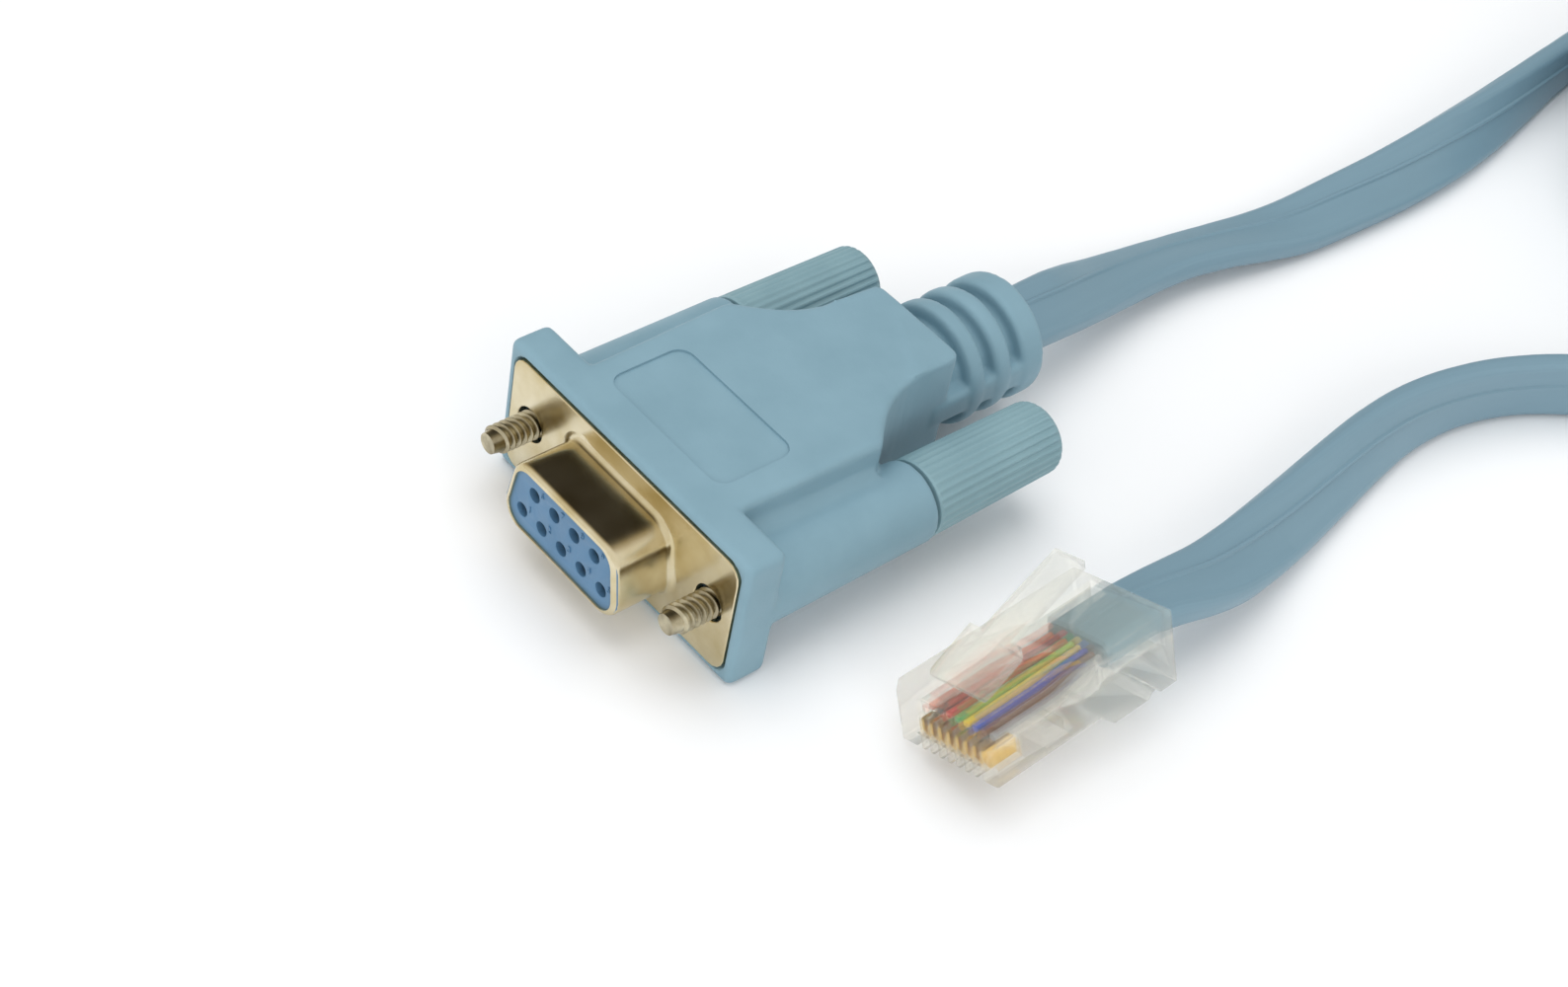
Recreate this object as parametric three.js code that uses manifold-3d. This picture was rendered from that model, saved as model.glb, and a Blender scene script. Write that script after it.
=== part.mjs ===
// A console lead: a nine-way D-sub socket in a moulded hood with two long
// thumbscrews, a flat eight-wire cable, and a clear eight-way modular plug.
// Millimetres. X runs across the D-sub, the mating face looks along -Y, +Z is
// up, and the origin is under the middle of the D-sub, on the surface it lies on.

import * as THREE from 'three';
import { mergeVertices } from 'three/addons/utils/BufferGeometryUtils.js';
import Module from 'manifold-3d';

// Driving dimensions.

const clearance = 0.3; // between pieces that touch on the real lead

const contactPitch = 2.77; // along a row
const contactRowGap = 2.84; // between the two rows
const screwSpacing = 24.99;
const screwDiameter = 2.8;
const screwTipDiameter = 2.0;
const screwTipLength = 0.9;
const screwProjection = 4.5; // in front of the plate
const screwClearance = 0.35; // round each screw

const plateScrewMargin = 2.905; // from a screw to the end of the plate
const plateHeight = 12.5;
const plateThickness = 0.8;
const plateCorner = 1.6;
const shroudWidth = 16.6; // along the wide side
const shroudHeight = 7.9;
const shroudSlant = 10; // degrees
const shroudCorner = 2.4;
const shroudWall = 0.4;
const shroudProjection = 6.0; // in front of the plate

const insulatorRecess = 0.25; // behind the shroud's rim
const insulatorRearWidth = 20;
const insulatorRearHeight = 10.4;
const insulatorRearDepth = 4.9;
const holeDiameter = 1.45;
const holeLip = 0.7;
const contactOuterDiameter = 1.36;
const contactBore = 1.0;
const contactBoreDepth = 4.0;
const contactTail = 2.4; // behind the insulator
const contactCupBore = 0.9;

const hoodHeight = 14.4;
const flangeScrewMargin = 4.005; // from a screw to the end of the flange
const flangeDepth = 4.15;
const flangeSetback = 0.14; // behind the plate's front face
const flangeRound = 0.6;
const bodyFrontWidth = 20.6;
const bodyShoulderWidth = 21.4;
const bodyShoulderAt = 19.8; // from the plate's front face
const bodyNeckWidth = 11.7;
const bodyNeckAt = 28.6;
const bodyLength = 33.9;
const bodyCorner = 1.3;
const bodyRearDrop = 0.4; // slope of the top and bottom behind the shoulder
const bodyRound = 0.6;
const panelWidth = 15.4;
const panelFrom = 4.0;
const panelTo = 12.8;
const panelCorner = 1.5;
const panelDepth = 0.25;
const channelDiameterFront = 8.0;
const channelDiameterRear = 7.8;
const channelLength = 23.0;
const coveRadius = 1.9; // hollow fillet between the body and each channel
const coveEndAt = 19.4;

const reliefEnd = 45.8;
const reliefWidth = 12.3;
const reliefHeight = 12.0;
const reliefCoreWidth = 9.0;
const reliefCoreHeight = 8.6;
const reliefSpineHeight = 2.8;
const reliefGroove = 1.4;
const reliefRing = 1.95;
const reliefRings = 3;
const reliefRound = 0.5;

const knobLength = 15.7;
const knobDiameterFront = 7.46;
const knobDiameterRear = 7.06;
const knobRound = 0.9;
const knobRibs = 30;
const knobRibDepth = 0.16;
const knobBoreDepth = 8.7;

const cableWidth = 7.0;
const cableThickness = 2.4;
const cableChamfer = 0.7;

const plugWidth = 11.68;
const plugLength = 21.46;
const plugHeight = 5.9; // from the nose's underside to the top
const plugNoseShoulder = 4.85;
const plugNoseChamfer = 0.45;
const plugRearDrop = 1.4; // the rear's underside below the nose's
const plugDropFrom = 12.1;
const plugDropTo = 13.7;
const plugRound = 0.35;
const plugNotchAt = 18.6;
const plugNotchDiameter = 1.5;
const cavityHeight = 3.0;
const cavityNoseHeight = 1.5;
const cavityNoseWidth = 8.7;
const cavityFrontAt = 1.4;
const cavityWireEnd = 11.5;
const jacketEndAt = 15.7; // from the nose
const jacketCentreHeight = 3.1;
const bladeCount = 8;
const bladePitch = 1.016;
const bladeThickness = 0.35;
const bladeSlot = 0.55;
const bladeFrom = 0.7;
const bladeTo = 4.2;
const bladeTop = 2.5;
const bladeBottom = 0.45;
const slotDepthAt = 4.5;
const wireDiameter = 0.86;
const wireJacketPitch = 0.8;
const wireFrontAt = 1.9;
const wireParallelAt = 9.0;
const pressSlotFrom = 6.6;
const pressSlotTo = 9.2;
const pressSlotHeight = 1.2;
const pressSlotWidth = 8.6;

const latchRootAt = 2.3;
const latchRootThickness = 1.2;
const latchWidth = 6.0;
const latchEarAt = 6.7;
const latchEarHeight = 9.15;
const latchEarThickness = 1.3;
const leverWidth = 3.4;
const leverTipAt = 15.9;
const leverTipHeight = 12.2;
const leverThickness = 0.8;

// Where the plug lies, rolled on to its lower edge by the stiff cable.
const plugNosePosition = [34.31, -10.96, 2.66];
const plugTurn = [3.9, -21.34, 1.72]; // degrees about X, Y and Z

// The cable's two loose runs: x, y, z of its middle and its roll in degrees.
const hoodRun = [
  [0, 26.2, 7.2, 0],
  [-0.2, 30.1, 6.95, -9],
  [-0.7, 35.1, 6.2, -16],
  [-1.35, 39.1, 5.1, -10],
  [-2.05, 43.6, 3.8, 1],
  [-2.5, 49.1, 2.75, 12],
  [-2.35, 54.6, 2.2, 18],
  [-1.5, 60.1, 2.0, 16],
  [-0.6, 65.1, 1.72, 9],
  [0.1, 70.1, 1.55, -1],
  [0.5, 77.1, 1.85, -10],
  [0.8, 85.1, 2.25, -22],
  [0.7, 93.1, 2.85, -38],
  [0.1, 101.1, 3.3, -56],
  [-1.0, 109.1, 3.55, -72],
  [-2.2, 116.5, 3.6, -84],
  [-3.2, 123.6, 3.6, -90],
  [-3.8, 130.4, 3.6, -90],
  [-4.0, 137.0, 3.6, -90],
];
const plugRun = [
  [32.74, 4.51, 6.44, 21.3],
  [32.66, 7.51, 6.61, 21.3],
  [32.57, 10.56, 6.78, 21.3],
  [32.7, 14.2, 6.58, 14],
  [32.85, 18.2, 5.95, 3],
  [32.7, 22.5, 5.05, -7],
  [32.05, 27.0, 4.2, -18],
  [31.15, 32.0, 3.55, -30],
  [30.1, 37.5, 3.15, -41],
  [29.0, 43.5, 3.12, -50],
  [28.0, 50.0, 3.32, -60],
  [27.6, 56.0, 3.5, -72],
  [28.3, 62.6, 3.6, -84],
  [30.3, 69.1, 3.6, -90],
  [33.8, 75.2, 3.6, -90],
  [38.5, 80.2, 3.75, -90],
  [44.0, 84.1, 4.2, -90],
  [49.9, 87.3, 4.95, -90],
  [55.8, 90.5, 5.95, -90],
  [61.4, 94.2, 7.1, -90],
  [66.6, 98.6, 8.3, -90],
  [71.3, 103.5, 9.4, -90],
  [75.5, 108.9, 10.3, -90],
  [79.04, 114.75, 10.8, -90],
];
const runSteps = [36, 44];

// The stored length: a round coil of two layers, the cable standing on edge.
const coilCentre = [40.5, 137];
const coilOuterTurn = 41.4; // radius at the middle of the outermost turn
const coilTurnPitch = 2.65;
const coilTurnsPerLayer = 3.19;
const coilLayerPitch = 7.2;
const tieThickness = 0.7;
const tieWidth = 6;

// Worked out from the sizes above.

const deg = Math.PI / 180;
const plateWidth = screwSpacing + 2 * plateScrewMargin;
const flangeWidth = screwSpacing + 2 * flangeScrewMargin;
const dSubMiddle = (reliefEnd - shroudProjection) / 2;
const seatY = flangeSetback;
const screwRadius = screwDiameter / 2;
const screwBore = screwRadius + screwClearance;
const plateBack = plateThickness;
const insulatorFront = insulatorRecess - shroudProjection;
const insulatorRearFront = plateBack + clearance;
const insulatorBack = insulatorRearFront + insulatorRearDepth;
const contactBack = insulatorBack + contactTail;
const knobFront = channelLength + clearance;
const knobBack = knobFront + knobLength;
const screwBack = knobFront + knobBoreDepth - clearance;
const coilInnerTurn = coilOuterTurn - coilTurnPitch * coilTurnsPerLayer;

// Shape helpers.

const wasm = await Module();
wasm.setup();

function solidOf(geometry) {
  const bare = geometry.clone();
  bare.deleteAttribute('normal');
  bare.deleteAttribute('uv');
  const merged = mergeVertices(bare, 1e-4);
  return new wasm.Manifold(new wasm.Mesh({
    numProp: 3,
    vertProperties: new Float32Array(merged.attributes.position.array),
    triVerts: new Uint32Array(merged.index.array),
  }));
}

function geometryOf(solid) {
  const mesh = solid.getMesh();
  const indexed = new THREE.BufferGeometry();
  indexed.setAttribute('position', new THREE.BufferAttribute(new Float32Array(mesh.vertProperties), 3));
  indexed.setIndex(new THREE.BufferAttribute(new Uint32Array(mesh.triVerts), 1));
  const faceted = indexed.toNonIndexed();
  faceted.computeVertexNormals();
  return faceted;
}

// A closed outline through the corners, each rounded by an arc of the radius.
function roundedOutline(corners, radius, arcSteps = 4) {
  const points = [];
  const count = corners.length;
  for (let i = 0; i < count; i += 1) {
    const here = new THREE.Vector2(...corners[i]);
    const before = new THREE.Vector2(...corners[(i + count - 1) % count]);
    const after = new THREE.Vector2(...corners[(i + 1) % count]);
    const toBefore = before.sub(here).normalize();
    const toAfter = after.sub(here).normalize();
    const half = Math.acos(THREE.MathUtils.clamp(toBefore.dot(toAfter), -1, 1)) / 2;
    const reach = radius / Math.tan(half);
    const middle = toBefore.clone().add(toAfter).normalize().multiplyScalar(radius / Math.sin(half)).add(here);
    const from = toBefore.clone().multiplyScalar(reach).add(here).sub(middle).angle();
    const to = toAfter.clone().multiplyScalar(reach).add(here).sub(middle).angle();
    const sweep = THREE.MathUtils.euclideanModulo(to - from + Math.PI, 2 * Math.PI) - Math.PI;
    for (let k = 0; k <= arcSteps; k += 1) {
      const angle = from + (sweep * k) / arcSteps;
      points.push(new THREE.Vector2(middle.x + radius * Math.cos(angle), middle.y + radius * Math.sin(angle)));
    }
  }
  return new THREE.Shape(points);
}

function rectangle(width, height, corner = 0, middle = [0, 0]) {
  const [x, y] = middle;
  const w = width / 2;
  const h = height / 2;
  const corners = [[x - w, y - h], [x + w, y - h], [x + w, y + h], [x - w, y + h]];
  if (corner === 0) {
    return new THREE.Shape(corners.map((c) => new THREE.Vector2(...c)));
  }
  return roundedOutline(corners, corner);
}

function polygon(corners) {
  return new THREE.Shape(corners.map((c) => new THREE.Vector2(...c)));
}

function ellipse(width, height, sides = 40) {
  const points = [];
  for (let i = 0; i < sides; i += 1) {
    const angle = (2 * Math.PI * i) / sides;
    points.push(new THREE.Vector2((width / 2) * Math.cos(angle), (height / 2) * Math.sin(angle)));
  }
  return new THREE.Shape(points);
}

function extrude(shape, length, edge) {
  if (!edge) {
    return new THREE.ExtrudeGeometry(shape, { depth: length, bevelEnabled: false, curveSegments: 8 });
  }
  const geometry = new THREE.ExtrudeGeometry(shape, {
    depth: length - 2 * edge,
    bevelEnabled: true,
    bevelThickness: edge,
    bevelSize: edge,
    bevelOffset: -edge,
    bevelSegments: 2,
    curveSegments: 8,
  });
  return geometry.translate(0, 0, edge);
}

// An (x, z) outline extruded from y = from to y = to.
function alongY(shape, from, to, edge = 0) {
  return extrude(shape, to - from, edge).rotateX(Math.PI / 2).translate(0, to, 0);
}

// A (y, z) outline extruded from x = from to x = to.
function alongX(shape, from, to, edge = 0) {
  const turn = new THREE.Matrix4().makeBasis(
    new THREE.Vector3(0, 1, 0),
    new THREE.Vector3(0, 0, 1),
    new THREE.Vector3(1, 0, 0),
  );
  return extrude(shape, to - from, edge).applyMatrix4(turn).translate(from, 0, 0);
}

// An (x, y) outline extruded from z = from to z = to.
function alongZ(shape, from, to, edge = 0) {
  return extrude(shape, to - from, edge).translate(0, 0, from);
}

function rod(radius, from, to, x = 0, z = 0, rearRadius = radius, sides = 24) {
  return new THREE.CylinderGeometry(rearRadius, radius, to - from, sides).translate(x, (from + to) / 2, z);
}

function join(geometries) {
  return geometries.map(solidOf).reduce((all, next) => all.add(next));
}

function cut(solid, geometries) {
  return geometries.map(solidOf).reduce((left, next) => left.subtract(next), solid);
}

function finish(colour, roughness, metalness = 0, opacity = 1) {
  return new THREE.MeshStandardMaterial({ color: colour, roughness, metalness, opacity, transparent: opacity < 1 });
}

function piece(name, geometry, material, parent) {
  const mesh = new THREE.Mesh(geometry, material);
  mesh.name = name;
  parent.add(mesh);
  return mesh;
}

const hoodBlue = finish(0x8aa8b6, 0.55);
const knobBlue = finish(0x88a4a6, 0.6);
const cableBlue = finish(0x7d9aab, 0.5);
const nickel = finish(0xc9bfa0, 0.22, 1);
const screwMetal = finish(0xb8b4a8, 0.3, 1);
const socketBlue = finish(0x6e9ac8, 0.5);
const gold = finish(0xd9b25a, 0.25, 1);
const clearPlastic = finish(0xf2efdc, 0.08, 0, 0.35);
const tieBlack = finish(0x1c1d1f, 0.7);
const wireColours = [0xd88a76, 0x222325, 0xc23a3a, 0x3f9a4f, 0xd4b32a, 0x2f57b5, 0x7a4a35, 0x9a9ca0];

// D outline of the shroud, the wide side at the bottom, moved in by the inset.
function dOutline(inset) {
  const slant = Math.tan(shroudSlant * deg);
  const half = shroudHeight / 2;
  const bottom = shroudWidth / 2 + shroudCorner * 0.25;
  const top = bottom - shroudHeight * slant;
  const side = inset / Math.cos(shroudSlant * deg);
  const low = bottom - inset * slant - side;
  const high = top + inset * slant - side;
  return roundedOutline(
    [[-low, -half + inset], [low, -half + inset], [high, half - inset], [-high, half - inset]],
    shroudCorner - inset,
    5,
  );
}

function contactPlaces() {
  const places = [];
  for (let i = 0; i < 5; i += 1) {
    places.push([(i - 2) * contactPitch, -contactRowGap / 2]);
  }
  for (let i = 0; i < 4; i += 1) {
    places.push([(i - 1.5) * contactPitch, contactRowGap / 2]);
  }
  return places;
}

function bodyOutline() {
  const outline = new THREE.Shape();
  const front = seatY + 1;
  const neck = bodyNeckWidth / 2;
  const shoulder = bodyShoulderWidth / 2;
  const rear = neck - 0.15;
  outline.moveTo(-bodyFrontWidth / 2, front);
  outline.lineTo(bodyFrontWidth / 2, front);
  outline.lineTo(shoulder, bodyShoulderAt - 0.4);
  outline.quadraticCurveTo(shoulder, bodyShoulderAt, shoulder - 0.3, bodyShoulderAt + 0.35);
  outline.bezierCurveTo(shoulder - 2.2, bodyShoulderAt + 2.2, neck + 0.1, bodyNeckAt - 4, neck, bodyNeckAt);
  outline.lineTo(rear, bodyLength - bodyCorner);
  outline.quadraticCurveTo(rear, bodyLength, rear - bodyCorner, bodyLength);
  outline.lineTo(-rear + bodyCorner, bodyLength);
  outline.quadraticCurveTo(-rear, bodyLength, -rear, bodyLength - bodyCorner);
  outline.lineTo(-neck, bodyNeckAt);
  outline.bezierCurveTo(-neck - 0.1, bodyNeckAt - 4, -shoulder + 2.2, bodyShoulderAt + 2.2, -shoulder + 0.3, bodyShoulderAt + 0.35);
  outline.quadraticCurveTo(-shoulder, bodyShoulderAt, -shoulder, bodyShoulderAt - 0.4);
  return outline;
}

// The hood: flange, body, screw channels and strain relief in one moulding.
function hoodGeometry() {
  const half = hoodHeight / 2;
  const body = solidOf(alongZ(bodyOutline(), -half, half, bodyRound)).intersect(solidOf(alongX(polygon([
    [-1, -half],
    [bodyShoulderAt, -half],
    [bodyLength + 1, bodyRearDrop - half],
    [bodyLength + 1, half - bodyRearDrop],
    [bodyShoulderAt, half],
    [-1, half],
  ]), -bodyShoulderWidth, bodyShoulderWidth)));
  const channels = [-1, 1].map((side) => rod(
    channelDiameterFront / 2,
    seatY + 1,
    channelLength,
    (side * screwSpacing) / 2,
    0,
    channelDiameterRear / 2,
    36,
  ));
  const flange = alongY(rectangle(flangeWidth, hoodHeight, 0.8), seatY, seatY + flangeDepth, flangeRound);
  const relief = [alongY(ellipse(reliefCoreWidth, reliefCoreHeight), bodyLength - 2, reliefEnd - 1)];
  relief.push(alongY(rectangle(reliefWidth - 0.5, reliefSpineHeight, 0.6), bodyLength - 2, reliefEnd - 1));
  let ringBack = reliefEnd;
  for (let i = 0; i < reliefRings; i += 1) {
    const width = i === 0 ? reliefRing + 0.85 : reliefRing;
    relief.push(alongY(ellipse(reliefWidth, reliefHeight), ringBack - width, ringBack, reliefRound));
    ringBack -= width + reliefGroove;
  }
  const coves = [-1, 1].flatMap((side) => [-1, 1].map((level) => coveGeometry(side, level)));
  const whole = body.add(join([flange, ...channels, ...relief, ...coves]));
  const platePocket = alongY(
    rectangle(plateWidth + 0.3, plateHeight + 0.3, plateCorner),
    -1,
    plateBack + clearance,
  );
  const innerPocket = alongY(
    rectangle(insulatorRearWidth + 2 * clearance, insulatorRearHeight + 2 * clearance),
    -1,
    contactBack + 2 * clearance,
  );
  const bores = [-1, 1].map((side) => rod(screwBore, -1, channelLength + 1, (side * screwSpacing) / 2));
  const panel = alongZ(
    rectangle(panelWidth, panelTo - panelFrom, panelCorner, [0, (panelFrom + panelTo) / 2]),
    half - panelDepth,
    half + 1,
  );
  return geometryOf(cut(whole, [platePocket, innerPocket, ...bores, panel]));
}

// The hollow fillet that runs down the body's side on to a channel.
function coveGeometry(side, level) {
  const wall = bodyFrontWidth / 2 - bodyRound;
  const crown = channelDiameterRear / 2;
  const turn = [bodyFrontWidth / 2 + coveRadius, crown + coveRadius];
  const outline = [[wall, 0], [wall, turn[1]]];
  for (let i = 0; i <= 6; i += 1) {
    const angle = Math.PI + ((Math.PI / 2) * i) / 6;
    outline.push([turn[0] + coveRadius * Math.cos(angle), turn[1] + coveRadius * Math.sin(angle) - 0.05]);
  }
  outline.push([turn[0], 0]);
  return alongY(polygon(outline.map(([x, z]) => [side * x, level * z])), seatY + 1, coveEndAt);
}

// The stamped front shell: mounting plate and D-shaped shroud.
function shroudGeometry() {
  const plate = alongY(rectangle(plateWidth, plateHeight, plateCorner), 0, plateBack);
  const wall = alongY(dOutline(0), -shroudProjection, plateBack, 0);
  const opening = alongY(dOutline(shroudWall), -shroudProjection - 1, plateBack + 1);
  const bores = [-1, 1].map((side) => rod(screwBore, -1, plateBack + 1, (side * screwSpacing) / 2));
  return geometryOf(cut(join([plate, wall]), [opening, ...bores]));
}

function insulatorGeometry() {
  const front = alongY(dOutline(shroudWall + 0.25), insulatorFront, insulatorBack - 1);
  const rear = alongY(rectangle(insulatorRearWidth, insulatorRearHeight), insulatorRearFront, insulatorBack);
  const holes = contactPlaces().flatMap(([x, z]) => [
    rod(holeDiameter / 2, insulatorFront - 1, insulatorFront + holeLip + 0.1, x, z, holeDiameter / 2, 16),
    rod(contactOuterDiameter / 2 + clearance, insulatorFront + holeLip, insulatorBack + 1, x, z, contactOuterDiameter / 2 + clearance, 16),
  ]);
  return geometryOf(cut(join([front, rear]), holes));
}

function contactGeometry() {
  const front = insulatorFront + holeLip + clearance;
  const boreEnd = front + contactBoreDepth;
  const cupEnd = contactBack - contactTail + 0.4;
  const profile = [
    [0, boreEnd],
    [contactBore / 2, boreEnd],
    [contactBore / 2, front],
    [contactOuterDiameter / 2, front],
    [contactOuterDiameter / 2, contactBack],
    [contactCupBore / 2, contactBack],
    [contactCupBore / 2, cupEnd],
    [0, cupEnd],
  ].map((p) => new THREE.Vector2(...p));
  return new THREE.LatheGeometry(profile, 12);
}

function screwGeometry() {
  const profile = [
    [0, -screwProjection],
    [screwTipDiameter / 2, -screwProjection],
    [screwRadius, screwTipLength - screwProjection],
    [screwRadius, screwBack],
    [0, screwBack],
  ].map((p) => new THREE.Vector2(...p));
  return new THREE.LatheGeometry(profile, 24);
}

function knobGeometry() {
  const bore = screwBore;
  const boreEnd = knobFront + knobBoreDepth;
  const front = knobDiameterFront / 2;
  const rear = knobDiameterRear / 2;
  const profile = [
    [0, boreEnd],
    [bore, boreEnd],
    [bore, knobFront],
    [front - 0.3, knobFront],
    [front, knobFront + 0.3],
    [rear, knobBack - knobRound],
    [rear - knobRound * 0.3, knobBack - knobRound * 0.3],
    [rear - knobRound, knobBack],
    [0, knobBack],
  ].map((p) => new THREE.Vector2(...p));
  const segments = knobRibs * 2;
  const geometry = new THREE.LatheGeometry(profile, segments);
  const place = geometry.attributes.position;
  for (let i = 0; i < place.count; i += 1) {
    const x = place.getX(i);
    const z = place.getZ(i);
    const radius = Math.hypot(x, z);
    const step = Math.round((Math.atan2(x, z) / (2 * Math.PI)) * segments);
    if (radius > rear - 0.4 && Math.abs(step) % 2 === 1) {
      const scale = (radius - knobRibDepth) / radius;
      place.setXYZ(i, x * scale, place.getY(i), z * scale);
    }
  }
  return geometry;
}

// The clear plug, nose at y = 0 and its underside there at z = 0.
function plugGeometry() {
  const half = plugWidth / 2;
  const side = polygon([
    [0, 0],
    [plugDropFrom, 0],
    [plugDropTo, -plugRearDrop],
    [plugLength, -plugRearDrop],
    [plugLength, plugHeight],
    [plugNoseChamfer, plugHeight],
    [0, plugNoseShoulder],
  ]);
  const body = solidOf(alongX(side, -half, half, plugRound));
  const cavityTop = jacketCentreHeight + cavityHeight / 2;
  const cavityBottom = jacketCentreHeight - cavityHeight / 2;
  const cavityMiddle = jacketCentreHeight;
  const cavityWide = cableWidth + 2 * clearance;
  const rearCavity = alongY(
    rectangle(cavityWide, cavityHeight, 0, [0, cavityMiddle]),
    jacketEndAt - 3,
    plugLength + 1,
  );
  const wireCavity = alongX(polygon([
    [cavityFrontAt, cavityMiddle - cavityNoseHeight / 2],
    [wireParallelAt, cavityMiddle - cavityNoseHeight / 2],
    [cavityWireEnd, cavityBottom],
    [jacketEndAt - 2, cavityBottom],
    [jacketEndAt - 2, cavityTop],
    [cavityWireEnd, cavityTop],
    [wireParallelAt, cavityMiddle + cavityNoseHeight / 2],
    [cavityFrontAt, cavityMiddle + cavityNoseHeight / 2],
  ]), -cavityNoseWidth / 2, cavityNoseWidth / 2);
  const slots = [];
  for (let i = 0; i < bladeCount; i += 1) {
    const x = (i - (bladeCount - 1) / 2) * bladePitch;
    slots.push(alongX(polygon([
      [-1, -1],
      [slotDepthAt, -1],
      [slotDepthAt, cavityMiddle],
      [bladeFrom - 0.2, cavityMiddle],
      [bladeFrom - 0.2, bladeBottom + 0.9],
      [-1, bladeBottom + 0.9],
    ]), x - bladeSlot / 2, x + bladeSlot / 2));
  }
  const pressSlot = alongZ(
    rectangle(pressSlotWidth, pressSlotTo - pressSlotFrom, 0, [0, (pressSlotFrom + pressSlotTo) / 2]),
    -1,
    pressSlotHeight,
  );
  const notch = new THREE.CylinderGeometry(plugNotchDiameter / 2, plugNotchDiameter / 2, plugWidth + 2, 16)
    .rotateZ(Math.PI / 2)
    .translate(0, plugNotchAt, -plugRearDrop);
  return geometryOf(cut(body, [rearCavity, wireCavity, ...slots, pressSlot, notch]));
}

// The latch, turning about the middle of its rounded root.
const latchPivot = [latchRootAt, plugHeight + clearance + latchRootThickness / 2];

function latchGeometry() {
  const [rootY, rootZ] = latchPivot;
  const root = latchRootThickness / 2;
  const rise = Math.atan2(latchEarHeight - rootZ - root, latchEarAt - rootY);
  const arc = [];
  for (let i = 0; i <= 8; i += 1) {
    const angle = rise + Math.PI / 2 + (Math.PI * i) / 8;
    arc.push([rootY + root * Math.cos(angle), rootZ + root * Math.sin(angle)]);
  }
  const wide = alongX(polygon([
    ...arc,
    [latchEarAt, latchEarHeight - latchEarThickness],
    [latchEarAt, latchEarHeight],
  ]), -latchWidth / 2, latchWidth / 2);
  const slope = Math.atan2(leverTipHeight - latchEarHeight, leverTipAt - latchEarAt);
  const back = [latchEarAt - 1, latchEarHeight - Math.tan(slope)];
  const lever = alongX(polygon([
    [back[0], back[1] - leverThickness],
    [leverTipAt, leverTipHeight - leverThickness],
    [leverTipAt, leverTipHeight],
    [back[0] + 0.4, back[1] + 0.4 * Math.tan(slope) - 0.05],
  ]), -leverWidth / 2, leverWidth / 2);
  return geometryOf(join([wide, lever]));
}

function bladeGeometry(x) {
  return alongX(polygon([
    [bladeFrom, bladeBottom + 0.9],
    [bladeFrom + 0.5, bladeBottom],
    [bladeTo, bladeBottom],
    [bladeTo, bladeTop - 0.5],
    [bladeTo - 0.5, bladeTop],
    [bladeFrom, bladeTop],
  ]), x - bladeThickness / 2, x + bladeThickness / 2);
}

function wireGeometry(index) {
  const step = index - (bladeCount - 1) / 2;
  const path = new THREE.CatmullRomCurve3([
    new THREE.Vector3(step * bladePitch, wireFrontAt, jacketCentreHeight),
    new THREE.Vector3(step * bladePitch, (wireFrontAt + wireParallelAt) / 2, jacketCentreHeight),
    new THREE.Vector3(step * bladePitch, wireParallelAt, jacketCentreHeight),
    new THREE.Vector3(step * wireJacketPitch, jacketEndAt - 2.6, jacketCentreHeight),
    new THREE.Vector3(step * wireJacketPitch, jacketEndAt - clearance, jacketCentreHeight),
  ]);
  const section = ellipse(Math.min(wireDiameter, wireJacketPitch - 0.06), Math.min(wireDiameter, wireJacketPitch - 0.06), 8);
  return new THREE.ExtrudeGeometry(section, { steps: 12, extrudePath: path, bevelEnabled: false });
}

// A route whose flat section keeps a chosen roll, rather than a free frame.
class FlatRoute extends THREE.CatmullRomCurve3 {
  constructor(run) {
    super(run.map(([x, y, z]) => new THREE.Vector3(x, y, z)));
    this.rolls = run.map((point) => point[3]);
  }

  rollAt(u) {
    const place = this.getUtoTmapping(u) * (this.rolls.length - 1);
    const index = Math.min(Math.floor(place), this.rolls.length - 2);
    return THREE.MathUtils.lerp(this.rolls[index], this.rolls[index + 1], place - index) * deg;
  }

  computeFrenetFrames(segments) {
    const up = new THREE.Vector3(0, 0, 1);
    const frames = { tangents: [], normals: [], binormals: [] };
    for (let i = 0; i <= segments; i += 1) {
      const u = i / segments;
      const tangent = this.getTangentAt(u);
      const across = tangent.clone().cross(up).normalize();
      const over = across.clone().cross(tangent).normalize();
      const roll = this.rollAt(u);
      const wide = across.clone().multiplyScalar(Math.cos(roll)).addScaledVector(over, Math.sin(roll));
      frames.tangents.push(tangent);
      frames.normals.push(wide);
      frames.binormals.push(tangent.clone().cross(wide).normalize());
    }
    return frames;
  }
}

function cableGeometry(run, steps) {
  const w = cableWidth / 2;
  const t = cableThickness / 2;
  const c = cableChamfer;
  const section = polygon([
    [-w, -t + c], [-w + c, -t], [w - c, -t], [w, -t + c],
    [w, t - c], [w - c, t], [-w + c, t], [-w, t - c],
  ]);
  return new THREE.ExtrudeGeometry(section, { steps, extrudePath: new FlatRoute(run), bevelEnabled: false });
}

const coilReach = coilOuterTurn + cableThickness / 2 + 0.3;
const coilHole = coilInnerTurn - cableThickness / 2 - 0.3;
const coilTop = 2 * coilLayerPitch + tieThickness + clearance + 0.3;

function coilGeometry() {
  const edge = 0.8;
  const profile = [
    [coilHole, edge],
    [coilHole + edge, 0],
    [coilReach - edge, 0],
    [coilReach, edge],
    [coilReach, coilTop - edge],
    [coilReach - edge, coilTop],
    [coilHole + edge, coilTop],
    [coilHole, coilTop - edge],
    [coilHole, edge],
  ].map((p) => new THREE.Vector2(...p));
  const ring = solidOf(new THREE.LatheGeometry(profile, 64).rotateX(Math.PI / 2));
  const underTie = new THREE.BoxGeometry(tieWidth + 2 * clearance, coilReach, 2 * (tieThickness + clearance))
    .translate(0, coilReach, 0);
  return geometryOf(cut(ring, [underTie]));
}

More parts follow.
